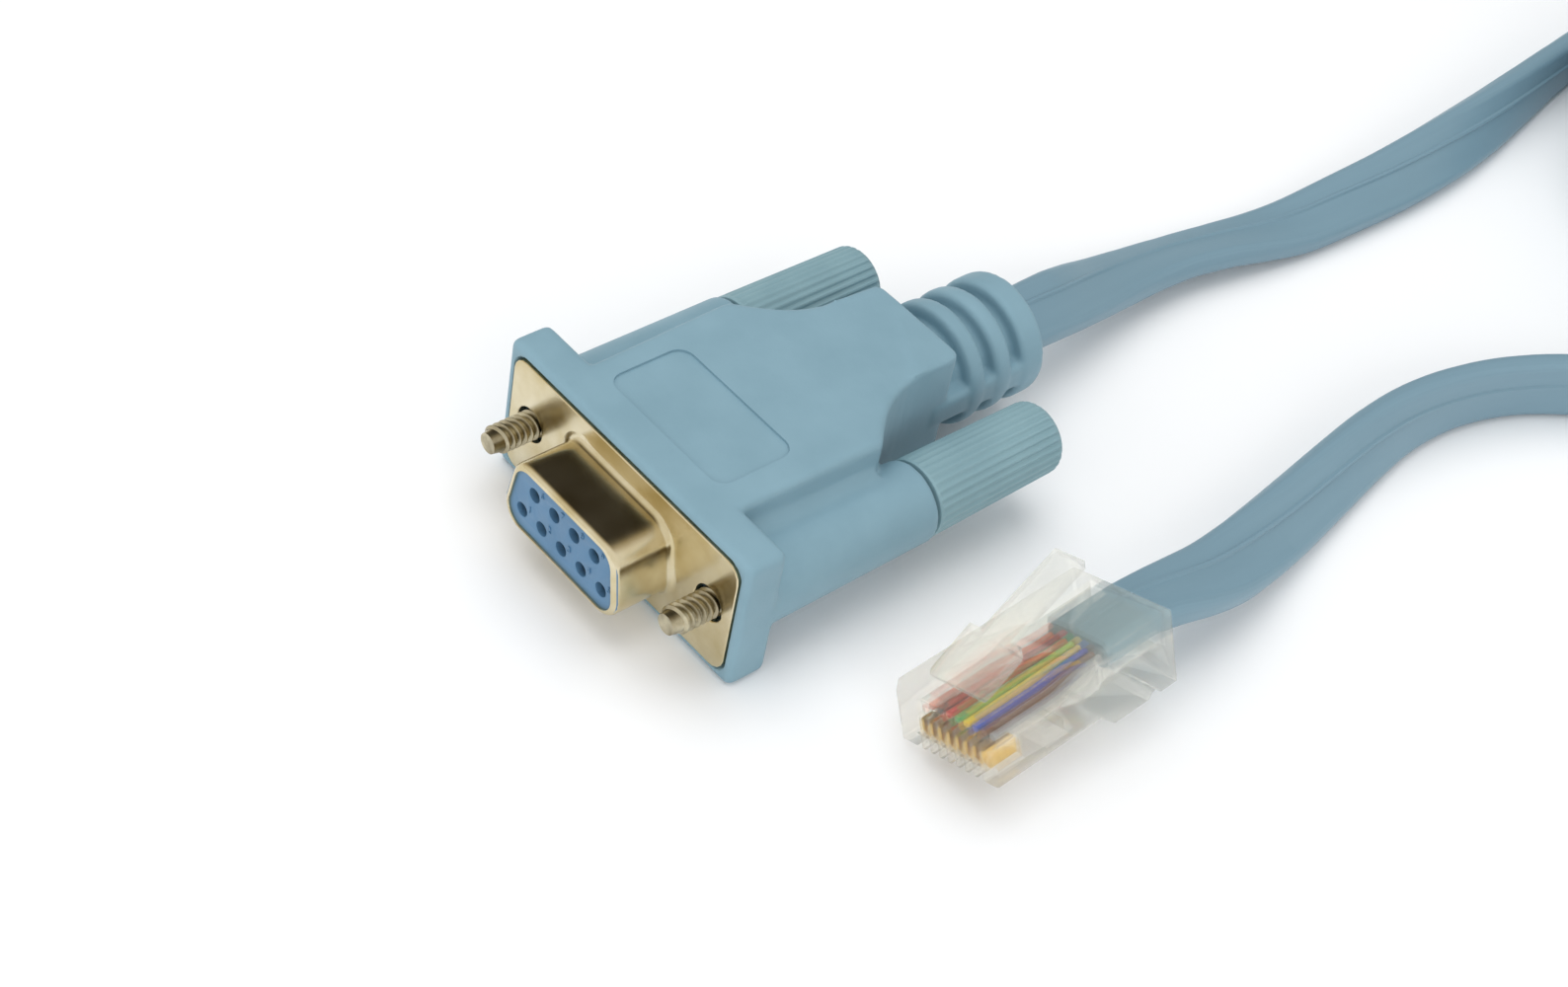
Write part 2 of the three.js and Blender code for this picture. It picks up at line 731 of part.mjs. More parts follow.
function tieGeometry() {
  const inner = coilHole - clearance;
  const outer = coilReach + clearance;
  const low = tieThickness;
  const high = coilTop + clearance;
  const middle = [(inner + outer) / 2, (low + high) / 2];
  const loop = rectangle(outer - inner + 2 * tieThickness, high - low + 2 * tieThickness, 0.6, middle);
  const opening = rectangle(outer - inner, high - low, 0, middle);
  const band = solidOf(alongX(loop, -tieWidth / 2, tieWidth / 2));
  return geometryOf(cut(band, [alongX(opening, -tieWidth, tieWidth)]));
}

// The scene.

const group = new THREE.Group();

const dSub = new THREE.Group();
dSub.position.set(0, -dSubMiddle, hoodHeight / 2);
group.add(dSub);

piece('hood', hoodGeometry(), hoodBlue, dSub);
piece('shroud', shroudGeometry(), nickel, dSub);
piece('insulator', insulatorGeometry(), socketBlue, dSub);
contactPlaces().forEach(([x, z], index) => {
  piece(`contact_${index + 1}`, contactGeometry(), gold, dSub).position.set(x, 0, z);
});
[['left', -1], ['right', 1]].forEach(([name, side]) => {
  const x = (side * screwSpacing) / 2;
  piece(`jackscrew_${name}`, screwGeometry(), screwMetal, dSub).position.x = x;
  piece(`thumbscrew_knob_${name}`, knobGeometry(), knobBlue, dSub).position.x = x;
});

piece('cable_hood_run', cableGeometry(hoodRun, runSteps[0]), cableBlue, group);
piece('cable_plug_run', cableGeometry(plugRun, runSteps[1]), cableBlue, group);

const coil = new THREE.Group();
coil.position.set(coilCentre[0], coilCentre[1], 0);
group.add(coil);
piece('cable_coil', coilGeometry(), cableBlue, coil);
piece('coil_tie', tieGeometry(), tieBlack, coil);

const plug = new THREE.Group();
plug.position.set(...plugNosePosition);
plug.rotation.set(plugTurn[0] * deg, plugTurn[1] * deg, plugTurn[2] * deg, 'XYZ');
group.add(plug);
piece('plug_body', plugGeometry(), clearPlastic, plug);
piece('plug_latch', latchGeometry(), clearPlastic, plug);
for (let i = 0; i < bladeCount; i += 1) {
  const x = (i - (bladeCount - 1) / 2) * bladePitch;
  piece(`plug_blade_${i + 1}`, bladeGeometry(x), gold, plug);
  piece(`plug_wire_${i + 1}`, wireGeometry(i), finish(wireColours[i], 0.5), plug);
}

export default group;
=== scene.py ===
import math

import bmesh
import bpy
from mathutils import Matrix, Vector


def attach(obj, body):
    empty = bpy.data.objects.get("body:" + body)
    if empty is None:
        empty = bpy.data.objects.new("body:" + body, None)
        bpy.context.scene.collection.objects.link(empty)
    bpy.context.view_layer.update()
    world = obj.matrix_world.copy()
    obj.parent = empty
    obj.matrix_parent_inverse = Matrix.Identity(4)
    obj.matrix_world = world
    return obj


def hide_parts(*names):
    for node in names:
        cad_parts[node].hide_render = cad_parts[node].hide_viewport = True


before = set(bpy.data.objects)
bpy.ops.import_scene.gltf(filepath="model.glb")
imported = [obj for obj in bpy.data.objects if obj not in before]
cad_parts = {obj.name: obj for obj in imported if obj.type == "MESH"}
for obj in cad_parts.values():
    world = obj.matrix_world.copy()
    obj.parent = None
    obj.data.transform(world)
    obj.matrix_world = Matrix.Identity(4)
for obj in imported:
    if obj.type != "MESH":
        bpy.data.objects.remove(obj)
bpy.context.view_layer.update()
bpy.ops.object.select_all(action="DESELECT")

# The camera: a hand's length in front and to the right of the socket, looking down at
# 44 degrees and turned a little on its axis.
MM = 0.001
camera_place = Vector((120.73, -135.88, 174.24)) * MM
camera_azimuth = math.radians(41.461)
camera_elevation = math.radians(43.937)
camera_roll = math.radians(11.986)

back = Vector((
    math.sin(camera_azimuth) * math.cos(camera_elevation),
    -math.cos(camera_azimuth) * math.cos(camera_elevation),
    math.sin(camera_elevation),
))
level_right = Vector((math.cos(camera_azimuth), math.sin(camera_azimuth), 0.0))
level_up = back.cross(level_right)
right = level_right * math.cos(camera_roll) + level_up * math.sin(camera_roll)
up = level_up * math.cos(camera_roll) - level_right * math.sin(camera_roll)
camera_data = bpy.data.cameras.new("camera")
camera_data.sensor_width = 36.0
camera_data.lens = 63.476
camera_data.clip_start = 0.01
camera_data.clip_end = 10.0
camera = bpy.data.objects.new("camera", camera_data)
camera.matrix_world = Matrix((
    (right.x, up.x, back.x, camera_place.x),
    (right.y, up.y, back.y, camera_place.y),
    (right.z, up.z, back.z, camera_place.z),
    (0.0, 0.0, 0.0, 1.0),
))
bpy.context.scene.collection.objects.link(camera)
bpy.context.scene.camera = camera


# The table and the studio: a plain white sheet, a wide soft light overhead, a softer one
# from the right, and a weak one low in front.
def paint(code):
    """Linear colour of an sRGB hex code."""
    shades = [int(code[i : i + 2], 16) / 255 for i in (1, 3, 5)]
    return tuple(((s + 0.055) / 1.055) ** 2.4 if s > 0.04045 else s / 12.92 for s in shades) + (1.0,)


def add(tree, kind, settings=None, links=None):
    """Adds a node, sets its sockets or its own settings, and links its inputs."""
    made = tree.nodes.new(kind)
    for key, value in (settings or {}).items():
        if key in made.inputs:
            made.inputs[key].default_value = value
        else:
            setattr(made, key, value)
    for key, source in (links or {}).items():
        tree.links.new(source, made.inputs[key])
    return made


def new_finish(name, settings):
    """A material with its shader, ready for its pattern."""
    material = bpy.data.materials.new(name)
    material.use_nodes = True
    tree = material.node_tree
    tree.nodes.clear()
    shader = add(tree, "ShaderNodeBsdfPrincipled", settings)
    add(tree, "ShaderNodeOutputMaterial", links={"Surface": shader.outputs["BSDF"]})
    return material, tree, shader


def set_ramp(ramp, stops):
    """Puts the stops (place, hex code) on a colour ramp."""
    band = ramp.color_ramp.elements
    while len(band) < len(stops):
        band.new(0.5)
    for stop, (place, code) in zip(band, stops):
        stop.position = place
        stop.color = paint(code)


bpy.ops.mesh.primitive_plane_add(size=3.0, location=(0.0, 0.0, 0.0))
table = bpy.context.object
table.name = "table_sheet"
sheet_finish, _, _ = new_finish(
    "white_paper_sheet", {"Base Color": paint("#F6F7F8"), "Roughness": 0.9, "Specular IOR Level": 0.1}
)
table.data.materials.append(sheet_finish)


def soft_light(name, size, watts, place, aim, code="#FFFFFF"):
    data = bpy.data.lights.new(name, "AREA")
    data.shape = "RECTANGLE"
    data.size, data.size_y = size
    data.energy = watts
    data.color = paint(code)[:3]
    lamp = bpy.data.objects.new(name, data)
    lamp.location = place
    lamp.rotation_mode = "QUATERNION"
    lamp.rotation_quaternion = (Vector(aim) - Vector(place)).to_track_quat("-Z", "Y")
    lamp.visible_glossy = False
    bpy.context.scene.collection.objects.link(lamp)


soft_light("overhead", (0.9, 0.9), 4.2, (-0.2, 0.1, 0.85), (0.02, 0.0, 0.0))
soft_light("right_side", (0.6, 0.6), 1.9, (0.75, -0.25, 0.4), (0.02, 0.0, 0.0))
soft_light("front_low", (0.6, 0.3), 1.0, (-0.1, -0.7, 0.25), (0.0, 0.0, 0.0))

# Polished metal mirrors the room and not the lamps: the room is pale low down and to the
# right, and dark above and behind on the left, which the top of the nickel shell shows.
world = bpy.data.worlds.new("studio")
world.use_nodes = True
tree = world.node_tree
tree.nodes.clear()
dark_direction = (-0.48, 0.54, 0.69)
facing = add(tree, "ShaderNodeTexCoord")
turned = add(
    tree, "ShaderNodeVectorMath", {"operation": "DOT_PRODUCT"}, {"Vector": facing.outputs["Generated"]}
)
turned.inputs[1].default_value = dark_direction
room = add(tree, "ShaderNodeValToRGB", links={"Fac": turned.outputs["Value"]})
set_ramp(room, [(0.35, "#F4F1EA"), (0.7, "#B0A48C"), (0.86, "#5B5548"), (0.98, "#302C26")])
seen_room = add(tree, "ShaderNodeBackground", {"Strength": 1.0}, {"Color": room.outputs["Color"]})
even_room = add(tree, "ShaderNodeBackground", {"Color": paint("#FFFFFF"), "Strength": 0.62})
ray = add(tree, "ShaderNodeLightPath")
either = add(tree, "ShaderNodeMixShader", links={"Fac": ray.outputs["Is Glossy Ray"]})
tree.links.new(even_room.outputs["Background"], either.inputs[1])
tree.links.new(seen_room.outputs["Background"], either.inputs[2])
add(tree, "ShaderNodeOutputWorld", links={"Surface": either.outputs["Shader"]})
bpy.context.scene.world = world
bpy.context.scene.view_settings.view_transform = "Standard"


# The cable: eight wires side by side in a flat pale blue PVC jacket, 7 by 2.4 mm, with a
# fine marking rib near one edge of each face. It leaves the hood, lies down on the table,
# is wound on edge into a two-layer coil, and comes back to the plug.
cable_width = 7.0
cable_thickness = 2.4
cable_corner = 0.95
cable_corner_steps = 5
rib_place = -0.65
rib_half_width = 0.3
rib_height = 0.2
hood_exit = (0.0, 25.9, 7.2)

# Places in metres and rolls in degrees, as in the part's source.
hood_run = [
    (0.0, 0.0262, 0.0072, 0),
    (-0.0002, 0.0301, 0.00695, -9),
    (-0.0007, 0.0351, 0.0062, -16),
    (-0.00135, 0.0391, 0.0051, -10),
    (-0.00205, 0.0436, 0.0038, 1),
    (-0.0025, 0.0491, 0.00275, 12),
    (-0.00235, 0.0546, 0.0022, 18),
    (-0.0015, 0.0601, 0.0020, 16),
    (-0.0006, 0.0651, 0.00172, 9),
    (0.0001, 0.0701, 0.00155, -1),
    (0.0005, 0.0771, 0.00185, -10),
    (0.0008, 0.0851, 0.00225, -22),
    (0.0007, 0.0931, 0.00285, -38),
    (0.0001, 0.1011, 0.0033, -56),
    (-0.0010, 0.1091, 0.00355, -72),
    (-0.0022, 0.1165, 0.0036, -84),
    (-0.0032, 0.1236, 0.0036, -90),
    (-0.0038, 0.1304, 0.0036, -90),
    (-0.0040, 0.1370, 0.0036, -90),
]
plug_run = [
    (0.03274, 0.00451, 0.00644, 21.3),
    (0.03266, 0.00751, 0.00661, 21.3),
    (0.03257, 0.01056, 0.00678, 21.3),
    (0.0327, 0.0142, 0.00658, 14),
    (0.03285, 0.0182, 0.00595, 3),
    (0.0327, 0.0225, 0.00505, -7),
    (0.03205, 0.0270, 0.0042, -18),
    (0.03115, 0.0320, 0.00355, -30),
    (0.0301, 0.0375, 0.00315, -41),
    (0.0290, 0.0435, 0.00312, -50),
    (0.0280, 0.0500, 0.00332, -60),
    (0.0276, 0.0560, 0.0035, -72),
    (0.0283, 0.0626, 0.0036, -84),
    (0.0303, 0.0691, 0.0036, -90),
    (0.0338, 0.0752, 0.0036, -90),
    (0.0385, 0.0802, 0.00375, -90),
    (0.0440, 0.0841, 0.0042, -90),
    (0.0499, 0.0873, 0.00495, -90),
    (0.0558, 0.0905, 0.00595, -90),
    (0.0614, 0.0942, 0.0071, -90),
    (0.0666, 0.0986, 0.0083, -90),
    (0.0713, 0.1035, 0.0094, -90),
    (0.0755, 0.1089, 0.0103, -90),
    (0.07904, 0.11475, 0.0108, -90),
]
coil_middle = (0.0405, 0.137)
coil_outer_turn = 0.0414
coil_entry_radius = 0.0445
coil_entry_turn = 50
coil_pitch = 0.00265
coil_low = 0.0036
coil_high = 0.0108
coil_rise_turn = 75
coil_total_turn = 2370
coil_step = 15
tie_turn = 90
tie_lift = 0.0009
tie_lift_spread = 16


def coil_points():
    """The wound turns: inward on the lower layer, up at the hole, outward on the upper one."""
    half = (coil_total_turn - coil_rise_turn) / 2
    points = []
    for turned in range(coil_step, coil_total_turn, coil_step):
        ahead = min(turned, coil_total_turn - turned, half)
        radius = coil_outer_turn - coil_pitch * max(0, ahead - coil_entry_turn) / 360
        if ahead < coil_entry_turn:
            radius += (coil_entry_radius - coil_outer_turn) * (1 - ahead / coil_entry_turn) ** 2
        risen = min(max((turned - half) / coil_rise_turn, 0), 1)
        height = coil_low + (coil_high - coil_low) * risen * risen * (3 - 2 * risen)
        from_tie = (turned - tie_turn + 180) % 360 - 180
        height += tie_lift * math.exp(-((from_tie / tie_lift_spread) ** 2))
        angle = math.radians(180 - turned)
        points.append((
            coil_middle[0] + radius * math.cos(angle),
            coil_middle[1] + radius * math.sin(angle),
            height,
            -90,
        ))
    return points


def smooth_route(points, longest):
    """Centripetal spline through the points, as short straight steps, rolls included."""
    ends = [
        Vector(points[0][:3]) * 2 - Vector(points[1][:3]),
        Vector(points[-1][:3]) * 2 - Vector(points[-2][:3]),
    ]
    knots = [ends[0], *[Vector(p[:3]) for p in points], ends[1]]
    route = []
    for i in range(len(points) - 1):
        a, b, c, d = knots[i : i + 4]
        before, span, after = [math.sqrt((q - p).length) for p, q in ((a, b), (b, c), (c, d))]
        leave = ((b - a) / before - (c - a) / (before + span) + (c - b) / span) * span
        reach = ((c - b) / span - (d - b) / (span + after) + (d - c) / after) * span
        steps = max(2, math.ceil((c - b).length / longest))
        for j in range(steps):
            t = j / steps
            place = (
                b
                + leave * t
                + (3 * (c - b) - 2 * leave - reach) * t**2
                + (2 * (b - c) + leave + reach) * t**3
            )
            route.append((place, points[i][3] + (points[i + 1][3] - points[i][3]) * t))
    route.append((knots[-2], points[-1][3]))
    return route


def cable_section():
    """The jacket's outline, width by thickness, with the rib on both faces."""
    side = cable_width / 2
    face = cable_thickness / 2
    flat = [
        (side - cable_corner, face),
        (rib_place + rib_half_width, face),
        (rib_place + rib_half_width * 0.4, face + rib_height),
        (rib_place - rib_half_width * 0.4, face + rib_height),
        (rib_place - rib_half_width, face),
    ]
    corner = []
    for i in range(cable_corner_steps * 2 + 1):
        angle = math.pi / 2 + math.pi * i / (cable_corner_steps * 2)
        lean = face - cable_corner if angle < math.pi else cable_corner - face
        corner.append((
            -side + cable_corner + cable_corner * math.cos(angle),
            lean + cable_corner * math.sin(angle),
        ))
    under = [(x, -y) for x, y in reversed(flat)]
    return flat + corner + under[:-1] + [(-x, -y) for x, y in corner]


tail = (hood_exit[0] * MM, hood_exit[1] * MM - 0.0004, hood_exit[2] * MM, 0)
back_to_plug = [(x, y, z, -180 - roll) for x, y, z, roll in reversed(plug_run)]
cable_route = smooth_route([tail, *hood_run[1:], *coil_points(), *back_to_plug], 0.0016)
section = cable_section()
lift = Vector((0.0, 0.0, 1.0))
shape = bmesh.new()
lengthwise = shape.loops.layers.uv.new("along")
rings = []
travelled = [0.0]
for i, (place, roll) in enumerate(cable_route):
    ahead = cable_route[min(i + 1, len(cable_route) - 1)][0]
    behind = cable_route[max(i - 1, 0)][0]
    heading = (ahead - behind).normalized()
    across = heading.cross(lift).normalized()
    over = across.cross(heading).normalized()
    angle = math.radians(roll)
    wide = across * math.cos(angle) + over * math.sin(angle)
    thick = heading.cross(wide).normalized()
    rings.append([shape.verts.new(place + (wide * w + thick * t) * MM) for w, t in section])
    if i:
        travelled.append(travelled[-1] + (place - behind).length)
for i in range(len(rings) - 1):
    for j in range(len(section)):
        k = (j + 1) % len(section)
        face = shape.faces.new((rings[i][j], rings[i][k], rings[i + 1][k], rings[i + 1][j]))
        face.smooth = True
        for loop, (u, v) in zip(face.loops, ((i, j), (i, j + 1), (i + 1, j + 1), (i + 1, j))):
            loop[lengthwise].uv = (travelled[u], v / len(section) * 0.018)
shape.faces.new(rings[0])
shape.faces.new(list(reversed(rings[-1])))
bmesh.ops.recalc_face_normals(shape, faces=shape.faces[:])
cable_mesh = bpy.data.meshes.new("flat_cable")
shape.to_mesh(cable_mesh)
shape.free()
cable = bpy.data.objects.new("flat_cable", cable_mesh)
bpy.context.scene.collection.objects.link(cable)
cable.select_set(True)
bpy.context.view_layer.objects.active = cable
bpy.ops.object.shade_smooth_by_angle(angle=math.radians(32))

# Extruded PVC: a satin skin with faint drawn streaks along it and a slow change of tone.
cable_pvc, tree, shader = new_finish(
    "extruded_pvc_jacket", {"Roughness": 0.42, "IOR": 1.53, "Specular IOR Level": 0.45}
)
where = add(tree, "ShaderNodeUVMap", {"uv_map": "along"})
drawn = add(tree, "ShaderNodeMapping", {"Scale": (60.0, 2500.0, 1.0)}, {"Vector": where.outputs["UV"]})
streaks = add(
    tree, "ShaderNodeTexNoise", {"Scale": 1.0, "Detail": 3.0}, {"Vector": drawn.outputs["Vector"]}
)
tone = add(tree, "ShaderNodeValToRGB", links={"Fac": streaks.outputs["Fac"]})
set_ramp(tone, [(0.25, "#7492A1"), (0.75, "#7896A5")])
tree.links.new(tone.outputs["Color"], shader.inputs["Base Color"])
skin = add(tree, "ShaderNodeTexCoord")
pits = add(
    tree, "ShaderNodeTexNoise", {"Scale": 2600.0, "Detail": 2.0}, {"Vector": skin.outputs["Object"]}
)
relief = add(
    tree, "ShaderNodeBump", {"Strength": 0.12, "Distance": 0.0001}, {"Height": pits.outputs["Fac"]}
)
tree.links.new(relief.outputs["Normal"], shader.inputs["Normal"])
cable.data.materials.append(cable_pvc)
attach(cable, "lead")
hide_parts("cable_hood_run", "cable_plug_run", "cable_coil")


# Pieces that keep the solid's own shape are copied from it, so that their faces can be
# joined, their edges softened and their curves shaded smooth.
def only(piece):
    bpy.ops.object.select_all(action="DESELECT")
    piece.select_set(True)
    bpy.context.view_layer.objects.active = piece


def smooth_copy(node, name, edge=0.0, steps=2, angle=34):
    """A copy of a solid with its triangles joined, its sharp edges rounded and its curves smooth."""
    piece = bpy.data.objects.new(name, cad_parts[node].data.copy())
    piece.data.materials.clear()
    bpy.context.scene.collection.objects.link(piece)
    only(piece)
    bpy.ops.object.mode_set(mode="EDIT")
    bpy.ops.mesh.select_all(action="SELECT")
    bpy.ops.mesh.remove_doubles(threshold=0.000002)
    bpy.ops.mesh.dissolve_limited(angle_limit=math.radians(1.0), use_dissolve_boundaries=False)
    bpy.ops.object.mode_set(mode="OBJECT")
    if edge:
        rounding = piece.modifiers.new("rounding", "BEVEL")
        rounding.width = edge
        rounding.segments = steps
        rounding.limit_method = "ANGLE"
        rounding.angle_limit = math.radians(angle)
        rounding.harden_normals = False
        bpy.ops.object.modifier_apply(modifier="rounding")
    bpy.ops.object.shade_smooth_by_angle(angle=math.radians(angle))
    return piece


# The hood: soft pale blue PVC moulded in one shot over the socket and the cable's end,
# with a flange, a shallow label recess, two screw channels and the ribbed strain relief.
d_sub_height = 7.2
hood_fineness = 0.26
hood_top = 14.4
solid_panel_floor = 14.15
solid_panel_reach = 8.0
same_place = 0.02
panel_depth = 0.22
panel_middle = (-0.2, -11.55)
panel_size = (15.5, 8.5)
panel_corner = 1.5
socket_pocket = (10.3, 5.5)
pocket_wall = 0.35
hood = smooth_copy("hood", "hood_moulding")

# The solid's panel is levelled, to be cut again crisply after the skin, and the side wall
# beside the socket's pocket is thickened, because the skin would tear there.
for vertex in hood.data.vertices:
    x, _, z = (c / MM for c in vertex.co)
    if abs(z - solid_panel_floor) < same_place and abs(x) < solid_panel_reach:
        vertex.co.z = hood_top * MM
    beside_pocket = abs(abs(x) - socket_pocket[0]) < same_place
    if beside_pocket and abs(abs(z - d_sub_height) - socket_pocket[1]) < same_place:
        vertex.co.x = math.copysign(socket_pocket[0] - pocket_wall, x) * MM
skin = hood.modifiers.new("skin", "REMESH")
skin.mode = "VOXEL"
skin.voxel_size = hood_fineness * MM
bpy.ops.object.modifier_apply(modifier="skin")
soften = hood.modifiers.new("soften", "SMOOTH")
soften.factor = 0.5
soften.iterations = 3
bpy.ops.object.modifier_apply(modifier="soften")
bpy.ops.object.select_all(action="DESELECT")
panel_place = [x * MM for x in (*panel_middle, hood_top)]
bpy.ops.mesh.primitive_cube_add(size=1.0, location=panel_place)
panel_cut = bpy.context.object
panel_cut.scale = (panel_size[0] * MM, panel_size[1] * MM, panel_depth * 2 * MM)
bpy.ops.object.transform_apply(location=True, rotation=True, scale=True)
corners = panel_cut.modifiers.new("corners", "BEVEL")
corners.width = panel_corner * MM
corners.segments = 6
corners.limit_method = "WEIGHT"
weights = panel_cut.data.attributes.new("bevel_weight_edge", "FLOAT", "EDGE")
for edge in panel_cut.data.edges:
    a, b = (panel_cut.data.vertices[i].co for i in edge.vertices)
    weights.data[edge.index].value = 1.0 if abs(a.z - b.z) > 0.5 * panel_depth * MM else 0.0
only(panel_cut)
bpy.ops.object.modifier_apply(modifier="corners")
recess = hood.modifiers.new("recess", "BOOLEAN")
recess.operation = "DIFFERENCE"
recess.object = panel_cut
only(hood)
bpy.ops.object.modifier_apply(modifier="recess")
bpy.data.objects.remove(panel_cut)
bpy.ops.object.shade_smooth_by_angle(angle=math.radians(50))

# Moulded soft PVC: fine spark-eroded grain, a satin sheen, and a slightly cloudy colour.
def moulded_pvc(name, dark, light, roughness):
    material, tree, shader = new_finish(
        name, {"Roughness": roughness, "IOR": 1.53, "Specular IOR Level": 0.42}
    )
    where = add(tree, "ShaderNodeTexCoord")
    cloud = add(
        tree, "ShaderNodeTexNoise", {"Scale": 160.0, "Detail": 4.0}, {"Vector": where.outputs["Object"]}
    )
    tone = add(tree, "ShaderNodeValToRGB", links={"Fac": cloud.outputs["Fac"]})
    set_ramp(tone, [(0.32, dark), (0.68, light)])
    tree.links.new(tone.outputs["Color"], shader.inputs["Base Color"])
    grain = add(
        tree, "ShaderNodeTexNoise", {"Scale": 3200.0, "Detail": 3.0}, {"Vector": where.outputs["Object"]}
    )
    relief = add(
        tree, "ShaderNodeBump", {"Strength": 0.16, "Distance": 0.00008}, {"Height": grain.outputs["Fac"]}
    )
    tree.links.new(relief.outputs["Normal"], shader.inputs["Normal"])
    patch = add(
        tree, "ShaderNodeTexNoise", {"Scale": 420.0, "Detail": 2.0}, {"Vector": where.outputs["Object"]}
    )
    polish = add(
        tree,
        "ShaderNodeMapRange",
        {"To Min": roughness - 0.06, "To Max": roughness + 0.08},
        {"Value": patch.outputs["Fac"]},
    )
    tree.links.new(polish.outputs["Result"], shader.inputs["Roughness"])
    return material


hood_pvc = moulded_pvc("moulded_soft_pvc", "#7B9CAA", "#82A3B1", 0.5)
hood.data.materials.append(hood_pvc)
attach(hood, "lead")
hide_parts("hood")


# The shell: one pressing of thin steel plated with bright nickel, the plate drawn forward
# into the D-shaped shroud. It mirrors the room with a warm cast.
shell_width = 16.6
shell_height = 7.9
shell_slant = 10
shell_corner = 2.4
shell_front = -25.9
shell_seat = -19.9
shell_rim = 0.62
shell_flare = 0.7
shell_thickness = 0.65
shell_sunk = 0.4
clearing_size = (40.0, 20.0, 30.0)


def d_outline(inset, steps=8):
    """The shroud's D outline, narrow side up, drawn in by inset."""
    half_high = shell_height / 2 - inset
    lean = math.tan(math.radians(shell_slant))
    wide = shell_width / 2 - inset / math.cos(math.radians(shell_slant)) - shell_height / 2 * lean
    low = wide + half_high * lean
    high = wide - half_high * lean
    corner = shell_corner - inset
    corners = [(-low, -half_high), (low, -half_high), (high, half_high), (-high, half_high)]
    points = []
    for i, here in enumerate(corners):
        here = Vector(here)
        to_last = (Vector(corners[i - 1]) - here).normalized()
        to_next = (Vector(corners[(i + 1) % 4]) - here).normalized()
        opening = to_last.angle(to_next)
        middle = here + (to_last + to_next).normalized() * corner / math.sin(opening / 2)
        first = (here + to_last * corner / math.tan(opening / 2)) - middle
        last = (here + to_next * corner / math.tan(opening / 2)) - middle
        start = math.atan2(first.y, first.x)
        sweep = (math.atan2(last.y, last.x) - start) % math.tau
        for j in range(steps + 1):
            angle = start + sweep * j / steps
            points.append((middle.x + corner * math.cos(angle), middle.y + corner * math.sin(angle)))
    return points


def lofted(name, rings):
    """A skin over rings of equal point counts, the last joined to the first."""
    count = len(rings[0])
    faces = []
    for i in range(len(rings)):
        a, b = i * count, (i + 1) % len(rings) * count
        faces += [(a + j, a + (j + 1) % count, b + (j + 1) % count, b + j) for j in range(count)]
    mesh = bpy.data.meshes.new(name)
    mesh.from_pydata([[c * MM for c in point] for ring in rings for point in ring], [], faces)
    piece = bpy.data.objects.new(name, mesh)
    bpy.context.scene.collection.objects.link(piece)
    only(piece)
    bpy.ops.object.mode_set(mode="EDIT")
    bpy.ops.mesh.select_all(action="SELECT")
    bpy.ops.mesh.normals_make_consistent(inside=False)
    bpy.ops.object.mode_set(mode="OBJECT")
    return piece


profile = []
for i in range(7):
    angle = math.pi / 2 * i / 6
    profile.append((-shell_flare * (1 - math.sin(angle)), shell_seat - shell_flare * (1 - math.cos(angle))))
for i in range(9):
    angle = math.pi / 2 * i / 8
    profile.append((shell_rim * (1 - math.cos(angle)), shell_front + shell_rim * (1 - math.sin(angle))))
profile += [(shell_thickness, shell_front + 0.08), (shell_thickness, shell_seat + shell_sunk)]
profile += [(-shell_flare, shell_seat + shell_sunk)]
rings = [[(x, y, d_sub_height + z) for x, z in d_outline(inset)] for inset, y in profile]
drawn_shroud = lofted("drawn_shroud", rings)

# The solid's own shroud is trimmed off in front of the plate, and the rounded one put on.
shell = smooth_copy("shroud", "front_shell")
bpy.ops.object.select_all(action="DESELECT")
clearing_middle = (0.0, (shell_seat - clearing_size[1] / 2) * MM, d_sub_height * MM)
bpy.ops.mesh.primitive_cube_add(size=1.0, location=clearing_middle)
clearing = bpy.context.object
clearing.scale = [side * MM for side in clearing_size]
trim = shell.modifiers.new("trim", "BOOLEAN")
trim.operation = "DIFFERENCE"
trim.object = clearing
only(shell)
bpy.ops.object.modifier_apply(modifier="trim")
bpy.data.objects.remove(clearing)
rounding = shell.modifiers.new("rounding", "BEVEL")
rounding.width = 0.12 * MM
rounding.segments = 2
rounding.limit_method = "ANGLE"
rounding.angle_limit = math.radians(40)
bpy.ops.object.modifier_apply(modifier="rounding")
only(shell)
drawn_shroud.select_set(True)
bpy.ops.object.join()
bpy.ops.object.shade_smooth_by_angle(angle=math.radians(34))

# Bright nickel over drawn steel: a mirror with a warm cast, hazed in patches and a little
# rippled by the pressing.
nickel, tree, shader = new_finish("bright_nickel_plate", {"Metallic": 1.0})
where = add(tree, "ShaderNodeTexCoord")
haze = add(
    tree, "ShaderNodeTexNoise", {"Scale": 260.0, "Detail": 5.0}, {"Vector": where.outputs["Object"]}
)
tone = add(tree, "ShaderNodeValToRGB", links={"Fac": haze.outputs["Fac"]})
set_ramp(tone, [(0.3, "#C8B88C"), (0.7, "#E2D8BC")])
tree.links.new(tone.outputs["Color"], shader.inputs["Base Color"])
dull = add(tree, "ShaderNodeMapRange", {"To Min": 0.14, "To Max": 0.3}, {"Value": haze.outputs["Fac"]})
tree.links.new(dull.outputs["Result"], shader.inputs["Roughness"])
ripple = add(
    tree, "ShaderNodeTexNoise", {"Scale": 500.0, "Detail": 2.0}, {"Vector": where.outputs["Object"]}
)
relief = add(
    tree, "ShaderNodeBump", {"Strength": 0.02, "Distance": 0.0001}, {"Height": ripple.outputs["Fac"]}
)
tree.links.new(relief.outputs["Normal"], shader.inputs["Normal"])
shell.data.materials.append(nickel)
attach(shell, "lead")
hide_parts("shroud")


